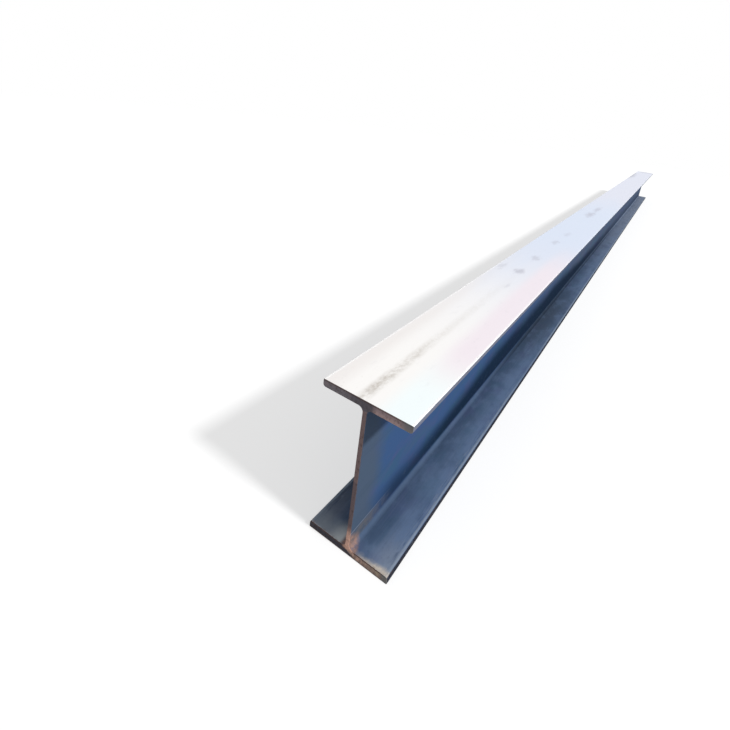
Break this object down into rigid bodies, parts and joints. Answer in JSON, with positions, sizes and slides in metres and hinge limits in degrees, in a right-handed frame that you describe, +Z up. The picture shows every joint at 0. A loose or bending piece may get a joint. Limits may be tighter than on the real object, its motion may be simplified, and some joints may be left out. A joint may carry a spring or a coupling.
{
  "type": "steel h-beam",
  "caption": "Hot-rolled steel beam with an H-shaped section: parallel flanges joined by a web, cut square at the ends, for columns, beams and frames.",
  "frame": {"origin": "middle of the beam's length, on the bottom flange's outer face, under the web", "axes": "+X along the beam towards the end that faces the camera, +Y across the flanges, +Z up from the bottom flange to the top flange"},
  "size_m": [6, 0.1668, 0.3104],
  "materials": {
    "mill_steel": "satin"
  },
  "bodies": {
    "root": {"h_beam": "mill_steel"}
  },
  "joints": []
}
